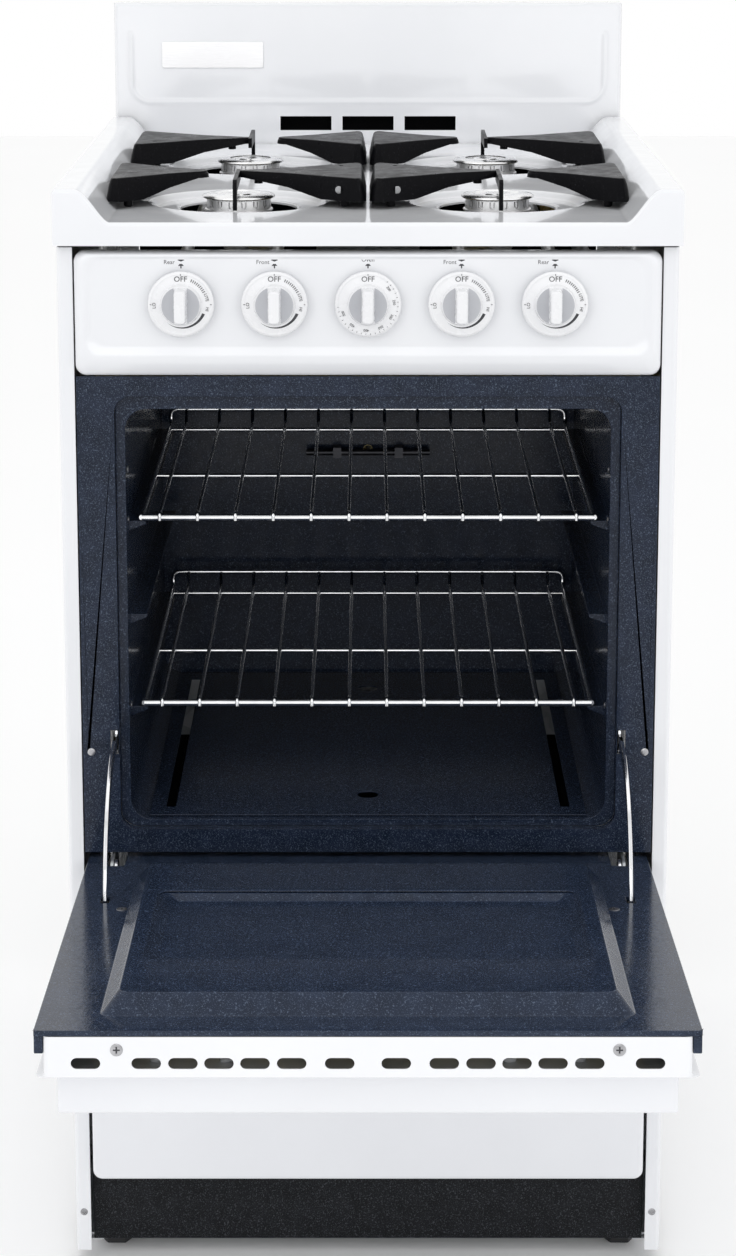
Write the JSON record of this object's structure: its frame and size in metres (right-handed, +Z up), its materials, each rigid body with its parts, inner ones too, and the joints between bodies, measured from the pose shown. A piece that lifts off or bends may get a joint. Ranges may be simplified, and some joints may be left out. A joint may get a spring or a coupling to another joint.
{
  "type": "freestanding gas range",
  "caption": "Compact freestanding gas range with drop-down oven door, wire racks, lift-up cooktop with steel grates, press-and-turn knobs and a pull-out broiler drawer.",
  "frame": {"origin": "on the floor, under the middle of the box round the range with its oven door open", "axes": "+X to the right as seen from the front, +Y into the range towards the wall, +Z up"},
  "size_m": [0.512, 1.0547, 1.053],
  "materials": {
    "white_enamel": "glossy white enamel",
    "navy_porcelain": "glossy navy porcelain with fine light speckle",
    "black_porcelain": "black porcelain",
    "chrome": "polished",
    "galvanised_steel": "galvanised",
    "burner_aluminium": "cast and machined",
    "brass": "turned",
    "shaft_steel": "turned",
    "knob_plastic": "white, satin",
    "plate_metal": "brushed, blank",
    "foot_black": "black",
    "ceramic": "unglazed",
    "mineral_wool": "fibrous blanket"
  },
  "bodies": {
    "root": {"left_side_panel": "white_enamel", "right_side_panel": "white_enamel", "back_panel": "galvanised_steel", "base_frame": "galvanised_steel", "kick_plate": "black_porcelain", "oven_front_frame": "navy_porcelain", "oven_liner": "navy_porcelain", "oven_floor": "navy_porcelain", "burner_box": "galvanised_steel", "oven_burner": "burner_aluminium", "flame_spreader": "galvanised_steel", "oven_igniter": "ceramic", "thermostat_bulb": "shaft_steel", "oven_insulation": "mineral_wool", "flue_duct": "galvanised_steel", "backguard": "white_enamel", "name_plate": "plate_metal", "control_panel": "white_enamel", "gas_manifold": "galvanised_steel", "gas_valves": "brass", "burner_tubes": "burner_aluminium", "burner_heads": "burner_aluminium", "burner_caps": "burner_aluminium", "gas_inlet": "brass", "cooktop_hinges": "galvanised_steel", "hinge_brackets": "galvanised_steel", "drawer_rails": "galvanised_steel", "panel_screws": "chrome"},
    "cooktop_lid": {"cooktop": "white_enamel"},
    "grate_body_front_left": {"grate_front_left": "black_porcelain"},
    "grate_body_front_right": {"grate_front_right": "black_porcelain"},
    "grate_body_rear_left": {"grate_rear_left": "black_porcelain"},
    "grate_body_rear_right": {"grate_rear_right": "black_porcelain"},
    "door": {"door_skin": "white_enamel", "door_liner": "navy_porcelain", "door_insulation": "mineral_wool", "door_handle": "white_enamel", "handle_fixings": "chrome", "door_screws": "chrome", "hinge_arms": "chrome"},
    "rack_upper": {"oven_rack_upper": "chrome"},
    "rack_lower": {"oven_rack_lower": "chrome"},
    "drawer": {"drawer_front": "white_enamel", "drawer_carriage": "galvanised_steel", "broiler_pan": "black_porcelain", "broiler_grid": "black_porcelain"},
    "shaft_1": {"valve_stem_1": "shaft_steel"},
    "dial_1": {"knob_1": "knob_plastic"},
    "shaft_2": {"valve_stem_2": "shaft_steel"},
    "dial_2": {"knob_2": "knob_plastic"},
    "shaft_3": {"valve_stem_3": "shaft_steel"},
    "dial_3": {"knob_3": "knob_plastic"},
    "shaft_4": {"valve_stem_4": "shaft_steel"},
    "dial_4": {"knob_4": "knob_plastic"},
    "shaft_5": {"valve_stem_5": "shaft_steel"},
    "dial_5": {"knob_5": "knob_plastic"},
    "foot_front_left": {"leg_front_left": "foot_black"},
    "foot_front_right": {"leg_front_right": "foot_black"},
    "foot_rear_left": {"leg_rear_left": "foot_black"},
    "foot_rear_right": {"leg_rear_right": "foot_black"}
  },
  "joints": [
    {"name": "cooktop_lift", "type": "hinge", "parent": "root", "child": "cooktop_lid", "pos_m": [0, 0.4679, 0.93], "axis": [-1, 0, 0], "range_deg": [0, 30]},
    {"name": "grate_lift_front_left", "type": "slide", "parent": "cooktop_lid", "child": "grate_body_front_left", "axis": [0, 0, 1], "range_m": [0, 0.06]},
    {"name": "grate_lift_front_right", "type": "slide", "parent": "cooktop_lid", "child": "grate_body_front_right", "axis": [0, 0, 1], "range_m": [0, 0.06]},
    {"name": "grate_lift_rear_left", "type": "slide", "parent": "cooktop_lid", "child": "grate_body_rear_left", "axis": [0, 0, 1], "range_m": [0, 0.06]},
    {"name": "grate_lift_rear_right", "type": "slide", "parent": "cooktop_lid", "child": "grate_body_rear_right", "axis": [0, 0, 1], "range_m": [0, 0.06]},
    {"name": "door_hinge", "type": "hinge", "parent": "root", "child": "door", "pos_m": [0, -0.1051, 0.362], "axis": [1, 0, 0], "range_deg": [-86.5, 0]},
    {"name": "rack_slide_upper", "type": "slide", "parent": "root", "child": "rack_upper", "axis": [0, -1, 0], "range_m": [0, 0.28]},
    {"name": "rack_slide_lower", "type": "slide", "parent": "root", "child": "rack_lower", "axis": [0, -1, 0], "range_m": [0, 0.28]},
    {"name": "drawer_slide", "type": "slide", "parent": "root", "child": "drawer", "axis": [0, -1, 0], "range_m": [0, 0.26]},
    {"name": "knob_turn_1", "type": "hinge", "parent": "root", "child": "shaft_1", "pos_m": [-0.152, -0.0951, 0.848], "axis": [0, -1, 0], "range_deg": [0, 255]},
    {"name": "knob_press_1", "type": "slide", "parent": "shaft_1", "child": "dial_1", "axis": [0, 1, 0], "range_m": [0, 0.0035], "stiffness_N_per_m": 800, "springref_m": -0.003},
    {"name": "knob_turn_2", "type": "hinge", "parent": "root", "child": "shaft_2", "pos_m": [-0.076, -0.0951, 0.848], "axis": [0, -1, 0], "range_deg": [0, 255]},
    {"name": "knob_press_2", "type": "slide", "parent": "shaft_2", "child": "dial_2", "axis": [0, 1, 0], "range_m": [0, 0.0035], "stiffness_N_per_m": 800, "springref_m": -0.003},
    {"name": "knob_turn_3", "type": "hinge", "parent": "root", "child": "shaft_3", "pos_m": [0, -0.0951, 0.848], "axis": [0, -1, 0], "range_deg": [0, 290]},
    {"name": "knob_press_3", "type": "slide", "parent": "shaft_3", "child": "dial_3", "axis": [0, 1, 0], "range_m": [0, 0.0035], "stiffness_N_per_m": 800, "springref_m": -0.003},
    {"name": "knob_turn_4", "type": "hinge", "parent": "root", "child": "shaft_4", "pos_m": [0.076, -0.0951, 0.848], "axis": [0, -1, 0], "range_deg": [0, 255]},
    {"name": "knob_press_4", "type": "slide", "parent": "shaft_4", "child": "dial_4", "axis": [0, 1, 0], "range_m": [0, 0.0035], "stiffness_N_per_m": 800, "springref_m": -0.003},
    {"name": "knob_turn_5", "type": "hinge", "parent": "root", "child": "shaft_5", "pos_m": [0.152, -0.0951, 0.848], "axis": [0, -1, 0], "range_deg": [0, 255]},
    {"name": "knob_press_5", "type": "slide", "parent": "shaft_5", "child": "dial_5", "axis": [0, 1, 0], "range_m": [0, 0.0035], "stiffness_N_per_m": 800, "springref_m": -0.003},
    {"name": "foot_turn_front_left", "type": "hinge", "parent": "root", "child": "foot_front_left", "pos_m": [-0.222, -0.0491, 0.01], "axis": [0, 0, 1], "continuous": true},
    {"name": "foot_turn_front_right", "type": "hinge", "parent": "root", "child": "foot_front_right", "pos_m": [0.222, -0.0491, 0.01], "axis": [0, 0, 1], "continuous": true},
    {"name": "foot_turn_rear_left", "type": "hinge", "parent": "root", "child": "foot_rear_left", "pos_m": [-0.222, 0.4769, 0.01], "axis": [0, 0, 1], "continuous": true},
    {"name": "foot_turn_rear_right", "type": "hinge", "parent": "root", "child": "foot_rear_right", "pos_m": [0.222, 0.4769, 0.01], "axis": [0, 0, 1], "continuous": true}
  ]
}
